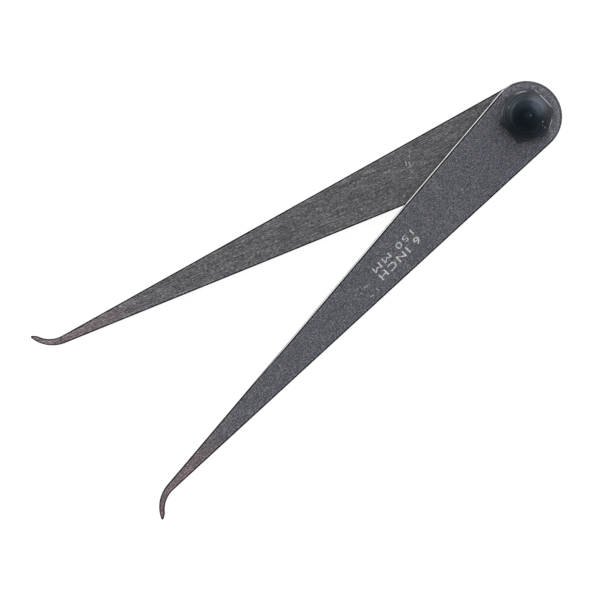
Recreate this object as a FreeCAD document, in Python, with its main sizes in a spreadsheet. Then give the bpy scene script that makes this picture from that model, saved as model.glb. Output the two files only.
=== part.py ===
import FreeCAD, Part
import math
import os
import Sketcher

# Firm joint inside caliper, 6 inch nominal size, in millimetres.
# Two flat tapered legs with out-turned feet turn about one stud. A domed nut squeezes them together,
# so that friction holds the opening where the hand leaves it.
# Frame: the origin is on the stud's axis, at the flat land under the bolt's head. +Z runs up through
# the stack to the nut. +X halves the angle between the legs, from the joint towards the feet.

SIZES = [
    ("opening_angle", 24.0, "angle between the legs as they lie, degrees"),
    ("leg_length", 152.4, "stud axis to the end of the foot"),
    ("leg_thickness", 2.0, "sheet of the leg blank"),
    ("leg_head_radius", 10.05, "round head of a leg"),
    ("ankle_width", 2.2, "leg where the foot begins"),
    ("ankle_drop", 3.33, "outer edge inwards of the leg's axis, where the foot begins"),
    ("foot_reach", 8.2, "where the foot begins to its end, along the leg"),
    ("heel_radius", 9.5, "convex side of the foot"),
    ("hollow_radius", 7.5, "concave side of the foot"),
    ("nose_radius", 0.35, "rounded contact end of the foot"),
    ("nose_drop", 0.25, "nose centre inwards of the leg's axis"),
    ("foot_slant", 28.0, "slanted end of the foot against the leg's axis, degrees"),
    ("slant_length", 1.4, "slanted end of the foot, from the nose to the concave side"),
    ("edge_break", 0.25, "broken edge round both faces of a leg"),
    ("facet_width", 0.40, "polished facet along the inner edge, across the face"),
    ("facet_depth", 0.26, "polished facet along the inner edge, down the side"),
    ("stud_diameter", 7.9, "5/16 inch stud"),
    ("stud_flats", 6.4, "across the two flats that key the stud"),
    ("stud_lead", 0.5, "chamfer on the end of the stud"),
    ("thread_length", 4.2, "stud inside the nut"),
    ("running_clearance", 0.05, "radial, stud in the turning leg and the washer"),
    ("key_clearance", 0.05, "per side, keyed hole round the stud"),
    ("thread_clearance", 0.05, "radial, stud in the nut"),
    ("bolt_head_diameter", 15.0, "low round head on the back"),
    ("bolt_head_height", 2.2, "land to shoulder"),
    ("bolt_rim_height", 1.1, "straight rim under the shoulder"),
    ("bolt_land_diameter", 9.0, "flat land that the caliper rests on"),
    ("bolt_crown_radius", 9.0, "arc from the land to the rim"),
    ("leg_washer_diameter", 16.5, "fibre friction washer between the legs"),
    ("leg_washer_thickness", 0.5, "fibre friction washer between the legs"),
    ("nut_washer_diameter", 14.3, "keyed washer under the nut"),
    ("nut_washer_thickness", 0.5, "keyed washer under the nut"),
    ("nut_washer_edge", 0.12, "broken upper edge of the keyed washer"),
    ("nut_across_flats", 13.335, "hexagon, 0.525 inch"),
    ("nut_corner_angle", 38.1, "one corner of the hexagon from +X, degrees"),
    ("nut_height", 6.6, "seat to the top of the crown"),
    ("shoulder_foot_height", 1.58, "seat to the turned shoulder's arc, 1 mm outside the corners"),
    ("nut_seat_diameter", 12.9, "bearing circle under the nut"),
    ("nut_seat_rise", 0.4, "height of the bevel under the corners"),
    ("crown_diameter", 8.5, "gently domed top inside the shoulder"),
    ("crown_rise", 0.45, "dome of the crown"),
    ("shoulder_radius", 9.2, "turned shoulder between the crown and the corners"),
    ("nut_end_gap", 0.6, "stud's end to the bottom of the blind hole"),
]

ALL_ROUND = 360
EXTRA = 1.0

# Levels of the stack, as expressions of the sheet
REAR_LEG_LEVEL = "Sizes.bolt_head_height"
LEG_WASHER_LEVEL = f"{REAR_LEG_LEVEL} + Sizes.leg_thickness"
FRONT_LEG_LEVEL = f"{LEG_WASHER_LEVEL} + Sizes.leg_washer_thickness"
NUT_WASHER_LEVEL = f"{FRONT_LEG_LEVEL} + Sizes.leg_thickness"
NUT_LEVEL = f"{NUT_WASHER_LEVEL} + Sizes.nut_washer_thickness"
STUD_TOP = f"{NUT_LEVEL} + Sizes.thread_length"

# Angles of the straight edges against the leg's axis: each is tangent to the head and passes the ankle
ANKLE = "(Sizes.leg_length - Sizes.foot_reach)"
INNER_DROP = "(Sizes.ankle_drop + Sizes.ankle_width)"
OUTER_TAPER = (
    f"(asin(Sizes.leg_head_radius / sqrt(pow({ANKLE}; 2) + pow(Sizes.ankle_drop; 2)))"
    f" + atan(Sizes.ankle_drop / {ANKLE}))"
)
INNER_TAPER = (
    f"(asin(Sizes.leg_head_radius / sqrt(pow({ANKLE}; 2) + pow({INNER_DROP}; 2)))"
    f" - atan({INNER_DROP} / {ANKLE}))"
)

HALF_OPENING = "Sizes.opening_angle / 2"
STUD_RADIUS = "Sizes.stud_diameter / 2"
NUT_CORNER_RADIUS = "Sizes.nut_across_flats / sqrt(3)"


def make_sheet(doc):
    sheet = doc.addObject("Spreadsheet::Sheet", "Sizes")
    for row, (alias, value, note) in enumerate(SIZES, start=1):
        sheet.set(f"A{row}", alias)
        sheet.set(f"B{row}", str(value))
        sheet.setAlias(f"B{row}", alias)
        sheet.set(f"C{row}", note)
    doc.recompute()
    return sheet


def value_of(sheet, expression):
    return float(sheet.evalExpression(expression))


# Sketches and features

def sketch_on(body, name, role):
    plane = next(item for item in body.Origin.OriginFeatures if item.Role == role)
    sketch = body.newObject("Sketcher::SketchObject", name)
    sketch.AttachmentSupport = [(plane, "")]
    sketch.MapMode = "FlatFace"
    return sketch


def bind(sketch, constraint, name, expression):
    index = sketch.addConstraint(constraint)
    sketch.renameConstraint(index, name)
    sketch.setExpression(f"Constraints.{name}", expression)


def place_point(sketch, item, end, name, across, up):
    """Puts one end of an item at two expressions, measured from the sketch's origin."""
    if across == "0":
        sketch.addConstraint(Sketcher.Constraint("PointOnObject", item, end, -2))
    else:
        start = value_of(sketch.Document.Sizes, across)
        bind(sketch, Sketcher.Constraint("DistanceX", -1, 1, item, end, start), f"{name}_across", across)
    if up == "0":
        sketch.addConstraint(Sketcher.Constraint("PointOnObject", item, end, -1))
    else:
        start = value_of(sketch.Document.Sizes, up)
        bind(sketch, Sketcher.Constraint("DistanceY", -1, 1, item, end, start), f"{name}_up", up)


def arc_between(start, end, radius):
    """The short arc that bulges to the right of the way from start to end."""
    chord = end - start
    to_right = FreeCAD.Vector(chord.y, -chord.x, 0).normalize()
    centre_offset = math.sqrt(radius**2 - (chord.Length / 2) ** 2)
    middle = (start + end) / 2 + to_right * (radius - centre_offset)
    return Part.Arc(start, middle, end)


def closed_profile(body, name, role, corners, arcs):
    """A closed outline of named corners. An entry in arcs gives the radius of the arc after a corner."""
    sheet = body.Document.Sizes
    sketch = sketch_on(body, name, role)
    names = list(corners)
    points = [FreeCAD.Vector(*(value_of(sheet, text) for text in corners[key]), 0) for key in names]
    items = []
    for index, key in enumerate(names):
        start, end = points[index], points[(index + 1) % len(points)]
        if key in arcs:
            edge = arc_between(start, end, value_of(sheet, arcs[key]))
        else:
            edge = Part.LineSegment(start, end)
        items.append(sketch.addGeometry(edge, False))
    for index, key in enumerate(names):
        item, before = items[index], items[index - 1]
        sketch.addConstraint(Sketcher.Constraint("Coincident", before, 2, item, 1))
        place_point(sketch, item, 1, key, *corners[key])
        if key in arcs:
            radius = value_of(sheet, arcs[key])
            bind(sketch, Sketcher.Constraint("Radius", item, radius), f"{key}_radius", arcs[key])
    return sketch


def add_circle(sketch, name, radius):
    centre = FreeCAD.Vector(0, 0, 0)
    start = value_of(sketch.Document.Sizes, radius)
    item = sketch.addGeometry(Part.Circle(centre, FreeCAD.Vector(0, 0, 1), start), False)
    sketch.addConstraint(Sketcher.Constraint("Coincident", item, 3, -1, 1))
    bind(sketch, Sketcher.Constraint("Radius", item, start), f"{name}_radius", radius)


def pad(body, name, sketch, length):
    feature = body.newObject("PartDesign::Pad", name)
    feature.Profile = sketch
    feature.setExpression("Length", length)
    body.Document.recompute()
    return feature


def cut(body, kind, name, sketch, **settings):
    """A pocket or a groove, which has to take material away."""
    before = body.Shape.Volume
    feature = body.newObject(kind, name)
    feature.Profile = sketch
    for key, value in settings.items():
        setattr(feature, key, value)
    body.Document.recompute()
    if not body.Shape.Volume < before:
        raise ValueError(f"{name} takes nothing away")
    return feature


def groove(body, name, sketch):
    return cut(body, "PartDesign::Groove", name, sketch, ReferenceAxis=(sketch, ["V_Axis"]), Angle=ALL_ROUND)


def pocket_through(body, name, sketch, symmetric=False, upwards=False):
    settings = {"Type": "ThroughAll", "Reversed": upwards}
    if symmetric:
        settings["SideType"] = "Symmetric"
    return cut(body, "PartDesign::Pocket", name, sketch, **settings)


def chamfer(body, name, base, edges, size):
    feature = body.newObject("PartDesign::Chamfer", name)
    feature.Base = (base, edges)
    feature.setExpression("Size", size)
    body.Document.recompute()


def edges_at(shape, level):
    """Names of the edges that lie flat at one level."""
    names = []
    for number, edge in enumerate(shape.Edges, start=1):
        box = edge.BoundBox
        if abs(box.ZMin - level) < 1e-6 and abs(box.ZMax - level) < 1e-6:
            names.append(f"Edge{number}")
    return names


def keyed_outline(sketch, clearance):
    """The stud's section, two arcs and two flats, opened up by a clearance all round."""
    radius_text = f"{STUD_RADIUS} + {clearance}"
    half_text = f"Sizes.stud_flats / 2 + {clearance}"
    radius = value_of(sketch.Document.Sizes, radius_text)
    half = value_of(sketch.Document.Sizes, half_text)
    reach = math.sqrt(radius**2 - half**2)
    lower_left, lower_right = FreeCAD.Vector(-reach, -half, 0), FreeCAD.Vector(reach, -half, 0)
    upper_left, upper_right = FreeCAD.Vector(-reach, half, 0), FreeCAD.Vector(reach, half, 0)
    lower = sketch.addGeometry(Part.LineSegment(lower_left, lower_right), False)
    right = sketch.addGeometry(Part.Arc(lower_right, FreeCAD.Vector(radius, 0, 0), upper_right), False)
    upper = sketch.addGeometry(Part.LineSegment(upper_right, upper_left), False)
    left = sketch.addGeometry(Part.Arc(upper_left, FreeCAD.Vector(-radius, 0, 0), lower_left), False)
    ring = [lower, right, upper, left]
    for before, item in zip(ring, ring[1:] + ring[:1]):
        sketch.addConstraint(Sketcher.Constraint("Coincident", before, 2, item, 1))
    sketch.addConstraint(Sketcher.Constraint("Horizontal", lower))
    sketch.addConstraint(Sketcher.Constraint("Horizontal", upper))
    sketch.addConstraint(Sketcher.Constraint("Coincident", right, 3, -1, 1))
    sketch.addConstraint(Sketcher.Constraint("Coincident", left, 3, -1, 1))
    bind(sketch, Sketcher.Constraint("Radius", right, radius), "key_radius", radius_text)
    bind(sketch, Sketcher.Constraint("DistanceY", -1, 1, upper, 1, half), "key_upper", half_text)
    bind(sketch, Sketcher.Constraint("DistanceY", lower, 2, -1, 1, half), "key_lower", half_text)


# The leg blank

def unit(degrees):
    angle = math.radians(degrees)
    return FreeCAD.Vector(math.cos(angle), math.sin(angle), 0)


def centre_beside(direction, offset, tip, reach):
    """A point at a signed distance left of a line through the origin, and at reach from the tip, short of it."""
    normal = FreeCAD.Vector(-direction.y, direction.x, 0)
    sideways = tip.dot(normal) - offset
    along = tip.dot(direction) - math.sqrt(reach**2 - sideways**2)
    return direction * along + normal * offset


def arc_from(centre, radius, start, end):
    """An anticlockwise arc from one direction in degrees to another."""
    circle = Part.Circle(centre, FreeCAD.Vector(0, 0, 1), radius)
    return Part.ArcOfCircle(circle, math.radians(start), math.radians(end))


def direction_of(vector):
    return math.degrees(math.atan2(vector.y, vector.x))


def leg_outline(body):
    """Head circle, two straight edges tangent to it, and a foot that turns outwards, +Y, to a slanted end."""
    sheet = body.Document.Sizes
    head, heel, hollow, nose = sheet.leg_head_radius, sheet.heel_radius, sheet.hollow_radius, sheet.nose_radius
    outer_taper = value_of(sheet, OUTER_TAPER)
    inner_taper = value_of(sheet, INNER_TAPER)
    outer_way = unit(-outer_taper)
    inner_way = unit(inner_taper)
    nose_centre = FreeCAD.Vector(sheet.leg_length - nose, -sheet.nose_drop, 0)
    heel_centre = centre_beside(inner_way, heel - head, nose_centre, heel - nose)
    slant_normal = 90 + sheet.foot_slant
    nose_end = nose_centre + unit(slant_normal) * nose
    tip_corner = nose_end - unit(sheet.foot_slant) * sheet.slant_length
    hollow_centre = centre_beside(outer_way, hollow + head, tip_corner, hollow)
    outer_normal = 90 - outer_taper
    inner_normal = inner_taper - 90
    heel_to_nose = direction_of(nose_centre - heel_centre)
    hollow_to_tip = direction_of(tip_corner - hollow_centre)

    sketch = sketch_on(body, "Outline", "XY_Plane")
    head_arc = arc_from(FreeCAD.Vector(0, 0, 0), head, outer_normal, inner_normal + ALL_ROUND)
    heel_arc = arc_from(heel_centre, heel, inner_normal, heel_to_nose)
    nose_arc = arc_from(nose_centre, nose, heel_to_nose, slant_normal)
    hollow_arc = arc_from(hollow_centre, hollow, outer_normal - ALL_ROUND / 2, hollow_to_tip)
    round_head = sketch.addGeometry(head_arc, False)
    inner_edge = sketch.addGeometry(Part.LineSegment(head_arc.EndPoint, heel_arc.StartPoint), False)
    outer_edge = sketch.addGeometry(Part.LineSegment(head_arc.StartPoint, hollow_arc.StartPoint), False)
    heel_item = sketch.addGeometry(heel_arc, False)
    nose_item = sketch.addGeometry(nose_arc, False)
    slant_edge = sketch.addGeometry(Part.LineSegment(nose_end, tip_corner), False)
    hollow_item = sketch.addGeometry(hollow_arc, False)
    for first, first_end, second, second_end in (
        (round_head, 2, inner_edge, 1),
        (inner_edge, 2, heel_item, 1),
        (heel_item, 2, nose_item, 1),
        (nose_item, 2, slant_edge, 1),
        (hollow_item, 1, outer_edge, 2),
        (outer_edge, 1, round_head, 1),
    ):
        sketch.addConstraint(Sketcher.Constraint("Tangent", first, first_end, second, second_end))
    sketch.addConstraint(Sketcher.Constraint("Coincident", slant_edge, 2, hollow_item, 2))
    sketch.addConstraint(Sketcher.Constraint("Coincident", round_head, 3, -1, 1))
    place_point(sketch, nose_item, 3, "nose", "Sizes.leg_length - Sizes.nose_radius", "-Sizes.nose_drop")
    bind(sketch, Sketcher.Constraint("Radius", round_head, head), "head_radius", "Sizes.leg_head_radius")
    bind(sketch, Sketcher.Constraint("Radius", heel_item, heel), "heel_radius", "Sizes.heel_radius")
    bind(sketch, Sketcher.Constraint("Radius", nose_item, nose), "nose_radius", "Sizes.nose_radius")
    bind(sketch, Sketcher.Constraint("Radius", hollow_item, hollow), "hollow_radius", "Sizes.hollow_radius")
    slant_turn = Sketcher.Constraint("Angle", -1, 1, slant_edge, 2, math.radians(sheet.foot_slant))
    bind(sketch, slant_turn, "foot_slant", "Sizes.foot_slant")
    slant_run = Sketcher.Constraint("Distance", slant_edge, sheet.slant_length)
    bind(sketch, slant_run, "slant_length", "Sizes.slant_length")
    inner_turn = Sketcher.Constraint("Angle", -1, 1, inner_edge, 1, math.radians(inner_taper))
    outer_turn = Sketcher.Constraint("Angle", -1, 1, outer_edge, 1, math.radians(-outer_taper))
    bind(sketch, inner_turn, "inner_taper", INNER_TAPER)
    bind(sketch, outer_turn, "outer_taper", f"-{OUTER_TAPER}")
    return sketch


def cut_facet(body):
    """A flat ground along the whole inner edge, which runs out on the head and on the heel."""
    edge, top = "-Sizes.leg_head_radius", "Sizes.leg_thickness"
    corners = {
        "above": (f"{edge} + 2 * Sizes.facet_width", f"{top} + Sizes.facet_depth"),
        "outside": (f"{edge} - Sizes.facet_width", f"{top} + Sizes.facet_depth"),
        "below": (f"{edge} - Sizes.facet_width", f"{top} - 2 * Sizes.facet_depth"),
    }
    sketch = closed_profile(body, "FacetSection", "YZ_Plane", corners, {})
    turn = FreeCAD.Rotation(FreeCAD.Vector(0, 1, 0), value_of(body.Document.Sizes, INNER_TAPER))
    sketch.AttachmentOffset = FreeCAD.Placement(FreeCAD.Vector(0, 0, 0), turn)
    sketch.setExpression("AttachmentOffset.Rotation.Angle", INNER_TAPER)
    body.Document.recompute()
    pocket_through(body, "Facet", sketch, symmetric=True)


def make_leg(doc, label, keyed):
    """One leg in its own frame: the joint at the origin, the foot along +X, the polished facet on top."""
    body = doc.addObject("PartDesign::Body", label)
    body.Label = label
    blank = pad(body, "Blank", leg_outline(body), "Sizes.leg_thickness")
    flat_edges = edges_at(blank.Shape, 0) + edges_at(blank.Shape, doc.Sizes.leg_thickness)
    chamfer(body, "BrokenEdge", blank, flat_edges, "Sizes.edge_break")
    hole = sketch_on(body, "HoleOutline", "XY_Plane")
    if keyed:
        keyed_outline(hole, "Sizes.key_clearance")
    else:
        add_circle(hole, "bore", f"{STUD_RADIUS} + Sizes.running_clearance")
    doc.recompute()
    pocket_through(body, "Hole", hole, upwards=True)
    cut_facet(body)
    return body


def make_front_leg(doc):
    body = make_leg(doc, "front_leg", keyed=False)
    place_turned(body, FRONT_LEG_LEVEL, HALF_OPENING)


def make_rear_leg(doc):
    """The same blank turned over, so that its foot bends the other way and its facet faces down."""
    body = make_leg(doc, "rear_leg", keyed=True)
    half_turn = FreeCAD.Rotation(FreeCAD.Vector(1, 0, 0), ALL_ROUND / 2)
    body.Placement = FreeCAD.Placement(FreeCAD.Vector(0, 0, 0), half_turn)
    body.setExpression("Placement.Base.z", LEG_WASHER_LEVEL)
    body.setExpression("Placement.Rotation.Axis.x", f"cos({HALF_OPENING} / 2)")
    body.setExpression("Placement.Rotation.Axis.y", f"-sin({HALF_OPENING} / 2)")


def place_turned(body, level, angle):
    body.Placement = FreeCAD.Placement(FreeCAD.Vector(0, 0, 0), FreeCAD.Rotation(FreeCAD.Vector(0, 0, 1), 1))
    body.setExpression("Placement.Base.z", level)
    body.setExpression("Placement.Rotation.Angle", angle)


# The joint

def make_joint_bolt(doc):
    """Low round head with a flat land, and a stud with two flats that key the rear leg and the nut's washer."""
    body = doc.addObject("PartDesign::Body", "joint_bolt")
    body.Label = "joint_bolt"
    head_radius = "Sizes.bolt_head_diameter / 2"
    corners = {
        "centre": ("0", "0"),
        "land": ("Sizes.bolt_land_diameter / 2", "0"),
        "rim": (head_radius, "Sizes.bolt_head_height - Sizes.bolt_rim_height"),
        "shoulder": (head_radius, "Sizes.bolt_head_height"),
        "root": (STUD_RADIUS, "Sizes.bolt_head_height"),
        "lead": (STUD_RADIUS, f"{STUD_TOP} - Sizes.stud_lead"),
        "end": (f"{STUD_RADIUS} - Sizes.stud_lead", STUD_TOP),
        "top": ("0", STUD_TOP),
    }
    section = closed_profile(body, "BoltSection", "XZ_Plane", corners, {"land": "Sizes.bolt_crown_radius"})
    turned = body.newObject("PartDesign::Revolution", "Turned")
    turned.Profile = section
    turned.ReferenceAxis = (section, ["V_Axis"])
    turned.Angle = ALL_ROUND
    doc.recompute()
    for side, sign in (("NearFlat", "-"), ("FarFlat", "")):
        flat = f"{sign}Sizes.stud_flats / 2"
        clear_of = f"{sign}{head_radius}"
        corners = {
            "inner_start": (f"-{head_radius}", flat),
            "inner_end": (head_radius, flat),
            "outer_end": (head_radius, clear_of),
            "outer_start": (f"-{head_radius}", clear_of),
        }
        waste = closed_profile(body, f"{side}Waste", "XY_Plane", corners, {})
        waste.setExpression("AttachmentOffset.Base.z", "Sizes.bolt_head_height")
        doc.recompute()
        pocket_through(body, side, waste, upwards=True)
    place_turned(body, "0", f"-{HALF_OPENING}")


def make_leg_washer(doc):
    body = doc.addObject("PartDesign::Body", "leg_washer")
    body.Label = "leg_washer"
    rings = sketch_on(body, "Rings", "XY_Plane")
    add_circle(rings, "rim", "Sizes.leg_washer_diameter / 2")
    add_circle(rings, "bore", f"{STUD_RADIUS} + Sizes.running_clearance")
    pad(body, "Disc", rings, "Sizes.leg_washer_thickness")
    place_turned(body, LEG_WASHER_LEVEL, f"-{HALF_OPENING}")


def make_nut_washer(doc):
    body = doc.addObject("PartDesign::Body", "nut_washer")
    body.Label = "nut_washer"
    rings = sketch_on(body, "Rings", "XY_Plane")
    add_circle(rings, "rim", "Sizes.nut_washer_diameter / 2")
    disc = pad(body, "Disc", rings, "Sizes.nut_washer_thickness")
    upper_edge = edges_at(disc.Shape, doc.Sizes.nut_washer_thickness)
    chamfer(body, "BrokenEdge", disc, upper_edge, "Sizes.nut_washer_edge")
    hole = sketch_on(body, "HoleOutline", "XY_Plane")
    keyed_outline(hole, "Sizes.key_clearance")
    doc.recompute()
    pocket_through(body, "Hole", hole, upwards=True)
    place_turned(body, NUT_WASHER_LEVEL, f"-{HALF_OPENING}")


def make_domed_nut(doc):
    """A blind hexagon nut, its top turned to a shoulder and a gently domed crown."""
    body = doc.addObject("PartDesign::Body", "domed_nut")
    body.Label = "domed_nut"
    hexagon = body.newObject("PartDesign::AdditivePrism", "Hexagon")
    hexagon.Polygon = 6
    hexagon.setExpression("Circumradius", NUT_CORNER_RADIUS)
    hexagon.setExpression("Height", "Sizes.nut_height")
    doc.recompute()

    clear_radius = f"{NUT_CORNER_RADIUS} + {EXTRA}"
    crown_edge = ("Sizes.crown_diameter / 2", "Sizes.nut_height - Sizes.crown_rise")
    crown_radius = "(pow(Sizes.crown_diameter / 2; 2) + pow(Sizes.crown_rise; 2)) / (2 * Sizes.crown_rise)"
    corners = {
        "clear_over": (clear_radius, f"Sizes.nut_height + {EXTRA}"),
        "clear": (clear_radius, "Sizes.shoulder_foot_height"),
        "crown": crown_edge,
        "apex": ("0", "Sizes.nut_height"),
        "apex_over": ("0", f"Sizes.nut_height + {EXTRA}"),
    }
    arcs = {"clear": "Sizes.shoulder_radius", "crown": crown_radius}
    turned_top = closed_profile(body, "TopWaste", "XZ_Plane", corners, arcs)
    doc.recompute()
    groove(body, "TurnedTop", turned_top)

    corners = {
        "seat": ("Sizes.nut_seat_diameter / 2", "0"),
        "under": (clear_radius, "0"),
        "bevel": (clear_radius, f"Sizes.nut_seat_rise * ({clear_radius} - Sizes.nut_seat_diameter / 2)"
                                f" / ({NUT_CORNER_RADIUS} - Sizes.nut_seat_diameter / 2)"),
    }
    seat_waste = closed_profile(body, "SeatWaste", "XZ_Plane", corners, {})
    doc.recompute()
    groove(body, "Seat", seat_waste)

    hole = sketch_on(body, "HoleOutline", "XY_Plane")
    add_circle(hole, "thread", f"{STUD_RADIUS} + Sizes.thread_clearance")
    doc.recompute()
    depth = doc.Sizes.thread_length + doc.Sizes.nut_end_gap
    bore = cut(body, "PartDesign::Pocket", "Thread", hole, Type="Length", Reversed=True, Length=depth)
    bore.setExpression("Length", "Sizes.thread_length + Sizes.nut_end_gap")
    place_turned(body, NUT_LEVEL, "Sizes.nut_corner_angle")


def check(doc):
    for item in doc.Objects:
        if "Invalid" in item.State or "Error" in item.State:
            raise ValueError(f"{item.Label} did not build: {item.State}")
    for body in doc.findObjects("PartDesign::Body"):
        if body.Shape.isNull() or not body.Shape.isValid() or len(body.Shape.Solids) != 1:
            raise ValueError(f"{body.Label} is not one valid solid")


def main():
    doc = FreeCAD.newDocument("InsideCaliper")
    make_sheet(doc)
    make_joint_bolt(doc)
    make_rear_leg(doc)
    make_leg_washer(doc)
    make_front_leg(doc)
    make_nut_washer(doc)
    make_domed_nut(doc)
    doc.recompute()
    check(doc)
    os.makedirs("parts", exist_ok=True)
    for body in doc.findObjects("PartDesign::Body"):
        body.Shape.exportStep(f"parts/{body.Label}.step")
        box = body.Shape.BoundBox
        print(f"{body.Label}: {body.Shape.Volume:.1f} mm3, z {box.ZMin:.2f} to {box.ZMax:.2f}")


main()
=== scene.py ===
"""Finishes, size mark, light and camera of a firm joint inside caliper.

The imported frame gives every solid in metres. X halves the angle between the
legs, Z runs up the joint's stud, and the origin is the land on the bolt's head
that the caliper rests on. Patterns are worked out in millimetres, in each
leg's own frame: the joint at the origin and the foot along X.
"""

import logging
import math
from collections.abc import Callable, Mapping, Sequence
from dataclasses import dataclass, field
from enum import Enum
from typing import Union

import bmesh
import bpy
from mathutils import Matrix, Vector

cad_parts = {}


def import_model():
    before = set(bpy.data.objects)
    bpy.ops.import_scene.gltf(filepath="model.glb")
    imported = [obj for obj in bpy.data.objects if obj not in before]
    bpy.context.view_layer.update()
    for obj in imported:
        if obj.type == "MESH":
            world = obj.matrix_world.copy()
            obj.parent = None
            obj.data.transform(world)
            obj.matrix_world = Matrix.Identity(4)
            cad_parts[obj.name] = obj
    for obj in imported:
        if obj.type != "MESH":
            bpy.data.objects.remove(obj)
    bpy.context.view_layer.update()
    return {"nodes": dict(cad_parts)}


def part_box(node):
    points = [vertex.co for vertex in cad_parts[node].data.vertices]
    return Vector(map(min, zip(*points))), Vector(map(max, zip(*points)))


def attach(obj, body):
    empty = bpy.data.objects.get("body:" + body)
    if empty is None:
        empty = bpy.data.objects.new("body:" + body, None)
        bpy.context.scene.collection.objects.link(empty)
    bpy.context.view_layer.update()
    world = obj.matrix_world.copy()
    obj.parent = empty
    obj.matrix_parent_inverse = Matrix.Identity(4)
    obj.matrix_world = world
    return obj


LOG = logging.getLogger("caliper")
MM = 0.001
PER_MM = 1000.0

Colour = tuple[float, float, float]
Point = tuple[float, float, float]
Span = tuple[float, float]
Socket = bpy.types.NodeSocket
Outputs = bpy.types.NodeOutputs
Group = bpy.types.ShaderNodeTree
Wire = Union[Socket, float, Sequence[float]]

ORIGIN: Point = (0.0, 0.0, 0.0)

HEAD_RADIUS = 10.05
OUTER_EDGE = (0.0927, 0.9957)
INNER_EDGE = (0.0314, -0.9995)
FOOT_START = 142.0


class Grain(Enum):
    """The marks in a finish: their length and width, in millimetres."""

    STIPPLED = (0.40, 0.34)
    LENGTHWISE = (0.95, 0.20)
    MOULDED = (0.90, 0.90)
    STEEL_CLOUDS = (3.4, 2.2)
    PATCHES = (17.0, 9.0)
    DRAWN_STREAKS = (3.6, 0.24)
    PITS = (0.25, 0.25)
    FILE_LONG = (0.16, 5.0)
    FILE_SHORT = (0.1, 1.1)
    WALL_PITS = (0.5, 0.5)
    BLUING_CLOUDS = (1.8, 1.8)
    BLUING_FINE = (0.35, 0.35)
    LAND_STREAKS = (5.0, 0.3)
    BRASS_CLOUDS = (2.2, 2.2)
    BRASS_FINE = (0.3, 0.3)
    FIBRE_HAIRS = (1.6, 0.12)
    ETCHED = (0.45, 0.45)


class Port(Enum):
    """The kinds of socket that an effect takes or gives."""

    VALUE = "NodeSocketFloat"
    VECTOR = "NodeSocketVector"
    COLOUR = "NodeSocketColor"


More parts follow.
